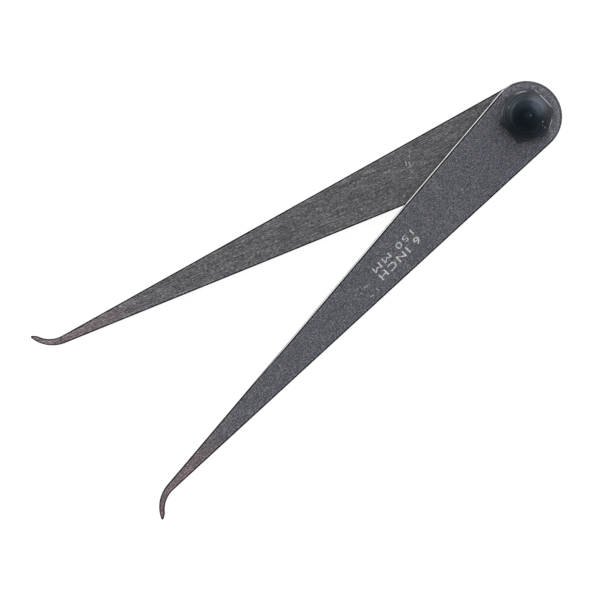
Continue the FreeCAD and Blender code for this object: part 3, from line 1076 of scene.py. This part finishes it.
@dataclass(frozen=True)
class DullBrass:
    """Thin rolled brass, tarnished in clouds, with a painted glint towards the key lamp and a patch of
    painted light.
    """

    name: str = "dull_brass"
    clean: Colour = (0.23, 0.215, 0.185)
    tarnished: Colour = (0.095, 0.093, 0.094)
    painted_glint: Colour = (0.60, 0.60, 0.60)
    glint_way: Point = (-0.990, -0.143, 0.0)
    pale: Colour = (0.27, 0.275, 0.29)
    painted_lit_patch_way: Point = (0.7206, -0.6934, 0.0)
    rubbed_edge: Colour = (0.50, 0.46, 0.36)
    pitch: float = 0.5

    def material(self, effects: Effects) -> bpy.types.Material:
        """Wires the material.

        Args:
            effects: the shared node groups.

        Returns:
            The material.
        """
        material, graph, shader = new_material(self.name)
        place = in_millimetres(graph)
        rings = graph.use(effects.turning, {"Vector": place, "Pitch": self.pitch, "Wobble": 0.1})
        clouds = effects.marks(graph, place, Grain.BRASS_CLOUDS)
        fine = effects.marks(graph, place, Grain.BRASS_FINE)
        stain = graph.remap(clouds, -0.7, 0.5)
        brass = graph.mix(stain, self.clean, self.tarnished)
        flat = graph.vector("NORMALIZE", graph.vector("MULTIPLY", place, (1.0, 1.0, 0.0)))
        # Painted glint: the rim is bright on the side towards the key lamp.
        rubbed = graph.dot(flat, self.glint_way)
        brass = graph.mix(graph.remap(rubbed, -0.3, 0.75), brass, self.painted_glint)
        # Painted light: a narrow pale patch on another side.
        pale = graph.remap(graph.dot(flat, self.painted_lit_patch_way), 0.93, 0.99)
        brass = graph.mix(pale, brass, self.pale)
        gain = graph.maths("MULTIPLY_ADD", rings["Value"], 0.12, 1.0)
        gain = graph.maths("MULTIPLY_ADD", fine, 0.12, gain)
        brass = graph.stretch(brass, gain)
        edge = graph.use(effects.worn_edge, {"Vector": place, "Radius": 0.06 * MM, "Patchy": 0.8})
        brass = graph.mix(graph.times(edge["Mask"], 0.5), brass, self.rubbed_edge)
        graph.feed(shader.inputs["Base Color"], brass)
        rough = graph.maths("MULTIPLY_ADD", clouds, 0.08, 0.38)
        graph.feed(shader.inputs["Roughness"], rough)
        shader.inputs["Metallic"].default_value = 0.9
        relief(graph, shader, fine, 0.008, 0.4)
        return material


@dataclass(frozen=True)
class Fibre:
    """Vulcanised fibre, pressed and slightly mottled, with fine hairs in it."""

    name: str = "red_fibre"
    dark: Colour = (0.075, 0.028, 0.018)
    light: Colour = (0.16, 0.062, 0.038)
    rubbed_edge: Colour = (0.24, 0.12, 0.08)

    def material(self, effects: Effects) -> bpy.types.Material:
        """Wires the material.

        Args:
            effects: the shared node groups.

        Returns:
            The material.
        """
        material, graph, shader = new_material(self.name)
        place = in_millimetres(graph)
        mottle = effects.marks(graph, place, Grain.MOULDED)
        hairs = effects.marks(graph, place, Grain.FIBRE_HAIRS)
        share = graph.maths("MULTIPLY_ADD", mottle, 0.4, 0.5)
        fibre = graph.mix(share, self.dark, self.light)
        fibre = graph.stretch(fibre, graph.maths("MULTIPLY_ADD", hairs, 0.15, 1.0))
        edge = graph.use(effects.worn_edge, {"Vector": place, "Radius": 0.08 * MM, "Patchy": 0.6})
        fibre = graph.mix(graph.times(edge["Mask"], 0.4), fibre, self.rubbed_edge)
        graph.feed(shader.inputs["Base Color"], fibre)
        rough = graph.maths("MULTIPLY_ADD", mottle, 0.08, 0.62)
        graph.feed(shader.inputs["Roughness"], rough)
        relief(graph, shader, hairs, 0.01, 0.5)
        return material


@dataclass(frozen=True)
class EtchedMark:
    """Steel etched pale and matt, uneven as an acid mark is."""

    name: str = "etched_mark"
    pale: Colour = (0.72, 0.72, 0.73)
    dull: Colour = (0.30, 0.30, 0.31)

    def material(self, effects: Effects) -> bpy.types.Material:
        """Wires the material.

        Args:
            effects: the shared node groups.

        Returns:
            The material.
        """
        material, graph, shader = new_material(self.name)
        place = in_millimetres(graph)
        fine = effects.marks(graph, place, Grain.ETCHED)
        share = graph.remap(fine, -0.9, 0.5, 1.0, 0.0)
        graph.feed(shader.inputs["Base Color"], graph.mix(share, self.pale, self.dull))
        rough = graph.maths("MULTIPLY_ADD", fine, 0.1, 0.55)
        graph.feed(shader.inputs["Roughness"], rough)
        shader.inputs["Metallic"].default_value = 0.6
        relief(graph, shader, fine, 0.012, 0.6)
        return material


def dress(node: bpy.types.Object, material: bpy.types.Material) -> None:
    """Gives a solid of the frame its finish.

    Args:
        node: the solid.
        material: the finish.
    """
    node.data.materials.clear()
    node.data.materials.append(material)
    LOG.info("%s: %s", node.name, material.name)


@dataclass
class SizeMark:
    """The plain size mark on the front leg's face, two short lines of pale characters."""

    lines: tuple[tuple[str, float, float, float], ...] = (
        ("6 INCH", 2.0, 0.35, 0.007),
        ("150 MM", 1.75, -2.35, 0.0),
    )
    middle: float = 53.2
    leg_turn: float = 12.0
    slope: float = -1.75
    width: float = 15.5
    spacing: float = 1.2
    thickness: float = 0.02
    proud: float = 0.010

    def line_mesh(self, text: str, cap: float, boldness: float) -> bpy.types.Mesh:
        """Makes one line of characters lying in the XY plane, centred on the origin.

        Args:
            text: the characters.
            cap: the height of a capital, in millimetres.
            boldness: how far the strokes' outlines move out, in the font's own units.

        Returns:
            The mesh, in millimetres.
        """
        curve = bpy.data.curves.new("line", "FONT")
        curve.body = text
        curve.space_character = self.spacing
        curve.extrude = self.thickness / 2
        curve.offset = boldness
        curve.resolution_u = 6
        drawn = bpy.data.objects.new("line", curve)
        bpy.context.scene.collection.objects.link(drawn)
        bpy.context.view_layer.update()
        mesh = bpy.data.meshes.new_from_object(drawn.evaluated_get(bpy.context.evaluated_depsgraph_get()))
        bpy.data.objects.remove(drawn)
        corners = [v.co for v in mesh.vertices]
        low = Vector(min(c[i] for c in corners) for i in range(3))
        high = Vector(max(c[i] for c in corners) for i in range(3))
        size = high - low
        fitted = Matrix.Diagonal((self.width / size.x, cap / size.y, 1.0, 1.0))
        mesh.transform(fitted @ Matrix.Translation(-(low + high) / 2))
        return mesh

    def build(self, top: float) -> bpy.types.Object:
        """Makes the mark on the leg's upper face.

        Args:
            top: the height of that face, in metres.

        Returns:
            The piece.
        """
        whole = bmesh.new()
        turn = Matrix.Rotation(math.radians(self.leg_turn), 4, "Z")
        tilt = Matrix.Rotation(math.radians(self.slope), 4, "Z")
        for text, cap, across, boldness in self.lines:
            mesh = self.line_mesh(text, cap, boldness)
            lift = self.proud - self.thickness / 2
            mesh.transform(tilt @ Matrix.Translation((0.0, across, lift)))
            mesh.transform(turn @ Matrix.Translation((self.middle, -0.1, 0.0)))
            whole.from_mesh(mesh)
            bpy.data.meshes.remove(mesh)
        bmesh.ops.scale(whole, vec=(MM, MM, MM), verts=whole.verts)
        bmesh.ops.translate(whole, vec=(0.0, 0.0, top), verts=whole.verts)
        bmesh.ops.remove_doubles(whole, verts=whole.verts, dist=1e-7)
        bmesh.ops.recalc_face_normals(whole, faces=whole.faces)
        made = bpy.data.meshes.new("size_mark")
        whole.to_mesh(made)
        whole.free()
        piece = bpy.data.objects.new("size_mark", made)
        bpy.context.scene.collection.objects.link(piece)
        return piece


@dataclass
class Leg:
    """A leg of the caliper and what lies on it."""

    node: str
    body: str
    finish: GroundSteel
    mark: SizeMark | None = None

    def dress(self, nodes: Mapping[str, bpy.types.Object], effects: Effects) -> None:
        """Gives the leg its finish, and its size mark if it has one.

        Args:
            nodes: the frame's solids, by name.
            effects: the shared node groups.
        """
        dress(nodes[self.node], self.finish.material(effects))
        if self.mark is None:
            return
        piece = self.mark.build(top=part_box(self.node)[1].z)
        piece.data.materials.append(EtchedMark().material(effects))
        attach(piece, self.body)
        LOG.info("%s: %d faces, on %s", piece.name, len(piece.data.polygons), self.node)


@dataclass
class Joint:
    """The friction joint: bolt, washers and domed nut."""

    nut: BluedSteel
    bolt: BluedSteel
    nut_washer: DullBrass = field(default_factory=DullBrass)
    leg_washer: Fibre = field(default_factory=Fibre)

    def dress(self, nodes: Mapping[str, bpy.types.Object], effects: Effects) -> None:
        """Gives each piece of the joint its finish.

        Args:
            nodes: the frame's solids, by name.
            effects: the shared node groups.
        """
        dress(nodes["domed_nut"], self.nut.material(effects))
        dress(nodes["joint_bolt"], self.bolt.material(effects))
        dress(nodes["nut_washer"], self.nut_washer.material(effects))
        dress(nodes["leg_washer"], self.leg_washer.material(effects))


@dataclass(frozen=True)
class Softbox:
    """A plain rectangular lamp, placed by the direction it has in the photo's view."""

    name: str
    photo_angle: float
    elevation: float
    width: float
    height: float
    radiance: float
    distance: float = 0.7


@dataclass
class Studio:
    """The pale floor, the soft light and the camera straight above."""

    photo_turn: float = 144.094
    middle: Point = (0.0816, 0.0044, 0.0055)
    field: float = 0.16852
    camera_height: float = 0.86
    sensor: float = 36.0
    floor_size: float = 3.0
    floor_drop: float = 0.00005
    softboxes: tuple[Softbox, ...] = (
        Softbox("key_lamp", 49.0, 30.0, 0.56, 0.42, 3.6),
        Softbox("facet_lamp", 139.7, 26.0, 0.34, 0.26, 0.9),
    )
    ambient_low: float = 0.34
    ambient_high: float = 0.92
    ambient_rise: float = 20.0
    floor_colour: Colour = (0.92, 0.92, 0.92)
    floor_glow: float = 1.13
    floor_lift: float = 0.82
    per_radiance: float = 4.0
    lamps_round: Point = (0.04, 0.0, 0.0)

    def direction(self, photo_angle: float, elevation: float) -> Vector:
        """Turns a direction in the photo's view into one in the frame.

        Args:
            photo_angle: the angle from the picture's right, counterclockwise, in degrees.
            elevation: the angle above the floor, in degrees.

        Returns:
            The unit vector.
        """
        around = math.radians(photo_angle + self.photo_turn)
        up = math.radians(elevation)
        return Vector((math.cos(around) * math.cos(up), math.sin(around) * math.cos(up), math.sin(up)))

    def add_camera(self) -> None:
        """Puts a long lens straight above, with the picture's frame on the legs' level."""
        data = bpy.data.cameras.new("camera")
        data.sensor_width = self.sensor
        data.lens = self.sensor * self.camera_height / self.field
        data.clip_start = 0.1
        data.clip_end = 10.0
        camera = bpy.data.objects.new("camera", data)
        x, y, z = self.middle
        camera.location = (x, y, z + self.camera_height)
        camera.rotation_euler = (0.0, 0.0, math.radians(self.photo_turn))
        bpy.context.scene.collection.objects.link(camera)
        bpy.context.scene.camera = camera

    def add_floor(self) -> None:
        """Lays the pale floor, which keeps a soft shadow and lets a view from below through."""
        material = bpy.data.materials.new("floor")
        graph = fresh_tree(material)
        path = graph.node("ShaderNodeLightPath").outputs
        seen = graph.maths("MAXIMUM", path["Is Camera Ray"], path["Is Glossy Ray"])
        seen = graph.maths("MAXIMUM", seen, path["Is Transmission Ray"])
        pale = graph.node("ShaderNodeBsdfDiffuse", {"Color": self.floor_colour})
        lit = graph.node("ShaderNodeEmission", {"Strength": self.floor_glow})
        lift = graph.times(seen, self.floor_lift)
        front = graph.node(
            "ShaderNodeMixShader", {0: lift, 1: pale.outputs[0], 2: lit.outputs[0]}
        )
        clear = graph.node("ShaderNodeBsdfTransparent")
        below = graph.node("ShaderNodeNewGeometry").outputs["Backfacing"]
        both = graph.node(
            "ShaderNodeMixShader", {0: below, 1: front.outputs[0], 2: clear.outputs[0]}
        )
        graph.node("ShaderNodeOutputMaterial", {"Surface": both.outputs[0]})
        sheet = bmesh.new()
        bmesh.ops.create_grid(sheet, x_segments=1, y_segments=1, size=self.floor_size)
        bmesh.ops.translate(sheet, vec=(0.0, 0.0, -self.floor_drop), verts=sheet.verts)
        mesh = bpy.data.meshes.new("floor")
        sheet.to_mesh(mesh)
        sheet.free()
        mesh.materials.append(material)
        floor = bpy.data.objects.new("floor", mesh)
        bpy.context.scene.collection.objects.link(floor)

    def add_world(self) -> None:
        """Surrounds the object with soft light, a little stronger from the key lamp's side."""
        world = bpy.data.worlds.new("studio")
        bpy.context.scene.world = world
        graph = fresh_tree(world)
        way = graph.node("ShaderNodeTexCoord").outputs["Generated"]
        key = self.softboxes[0]
        toward = graph.dot(way, tuple(self.direction(key.photo_angle, self.ambient_rise)))
        level = graph.remap(toward, -0.75, 0.9, self.ambient_low, self.ambient_high)
        seen = graph.node("ShaderNodeLightPath").outputs["Is Camera Ray"]
        strength = graph.between(seen, level, 1.0)
        light = graph.node("ShaderNodeBackground", {"Strength": strength})
        graph.node("ShaderNodeOutputWorld", {"Surface": light.outputs[0]})

    def add_lamps(self) -> None:
        """Hangs the softboxes round the joint, each with its own plain radiance."""
        for box in self.softboxes:
            data = bpy.data.lights.new(box.name, "AREA")
            data.shape = "RECTANGLE"
            data.size = box.width
            data.size_y = box.height
            data.energy = box.radiance * self.per_radiance * box.width * box.height
            lamp = bpy.data.objects.new(box.name, data)
            way = self.direction(box.photo_angle, box.elevation)
            lamp.location = Vector(self.lamps_round) + way * box.distance
            lamp.rotation_euler = way.to_track_quat("Z", "Y").to_euler()
            bpy.context.scene.collection.objects.link(lamp)

    def build(self) -> None:
        """Sets up the whole studio."""
        self.add_camera()
        self.add_floor()
        self.add_world()
        self.add_lamps()
        bpy.context.scene.view_settings.view_transform = "Standard"
        LOG.info("studio: %d lamps", len(self.softboxes))


FRONT_STEEL = GroundSteel(
    name="front_leg_steel",
    turned=12.0,
    grain=Grain.STIPPLED,
    facet=(0.130, -0.529, 0.838),
    cool=(0.116, 0.125, 0.149),
    warm=(0.143, 0.141, 0.153),
    rubbed_facing=(0.074, -0.703, 0.707),
    tint=(1.56, 1.18, 1.12),
    foot_band=0.53,
    tint_start=113.0,
    tint_full=147.0,
    scratches=(
        Scratch((63.9, 1.9), (64.0, 1.1)),
        Scratch((65.8, 1.8), (66.8, 1.4)),
        Scratch((65.1, -1.25), (66.2, -1.5)),
        Scratch((67.4, -2.8), (68.9, -3.2), light=0.3),
        Scratch((31.2, -4.2), (31.5, -6.0), light=0.25),
        Scratch((27.3, 0.1), (27.5, 0.3), width=0.2),
        Scratch((98.8, -2.9), (98.2, -4.9), light=0.4),
    ),
)
REAR_STEEL = GroundSteel(
    name="rear_leg_steel",
    turned=-12.0,
    grain=Grain.LENGTHWISE,
    facet=(0.130, 0.529, -0.838),
    side=-1.0,
    cool=(0.114, 0.118, 0.132),
    warm=(0.142, 0.137, 0.141),
    tint=(1.42, 1.16, 1.19),
    contrast=0.88,
    drawn=0.60,
    pitting=0.78,
    edge_band=0.46,
    lighter_band=0.28,
    lighter=0.0030,
    scratches=(
        Scratch((35.1, -1.9), (35.3, -0.4), width=0.2),
        Scratch((36.0, -2.3), (36.2, -1.2)),
        Scratch((34.2, -3.7), (34.6, -2.6), light=0.35),
        Scratch((99.4, 1.6), (99.6, 2.6), light=0.5),
    ),
)
NUT_STEEL = BluedSteel(
    name="nut_blued_steel",
    base=(0.021, 0.031, 0.044),
    crown_shade=(0.006, 0.011, 0.017),
    shade_disc_radius=3.3,
    shade_disc_middle=(1.35, 0.27, 0.0),
    pitch=0.42,
    lit_shoulder=(0.029, 0.034, 0.041),
    highlight_way=(-0.9993, -0.0366, 0.0),
    painted_light_way=(0.4083, -0.9129, 0.0),
    painted_shade_way=(0.0157, 0.9999, 0.0),
    glint_edge=(-0.990, -0.143, 0.0),
    specks=(
        (2.97, -5.05, 0.28),
        (-0.55, 0.44, 0.26),
        (-2.29, 3.78, 0.30),
        (-1.88, 5.50, 0.26),
        (-1.7, 4.6, 0.20),
    ),
)
BOLT_STEEL = BluedSteel(
    name="bolt_blued_steel",
    base=(0.016, 0.021, 0.030),
    crown_shade=(0.013, 0.017, 0.024),
    shade_disc_radius=4.5,
    shade_disc_middle=ORIGIN,
    pitch=0.5,
    lit_shoulder=(0.016, 0.021, 0.030),
    slides=True,
)


def main() -> None:
    """Loads the frame, dresses each sub-assembly and sets up the studio."""
    logging.basicConfig(level=logging.INFO, format="%(name)s %(message)s")
    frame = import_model()
    Studio().build()
    effects = Effects.build()
    nodes = frame["nodes"]
    Leg("front_leg", "front", FRONT_STEEL, SizeMark()).dress(nodes, effects)
    Leg("rear_leg", "rear", REAR_STEEL).dress(nodes, effects)
    Joint(NUT_STEEL, BOLT_STEEL).dress(nodes, effects)


if __name__ == "__main__":
    main()
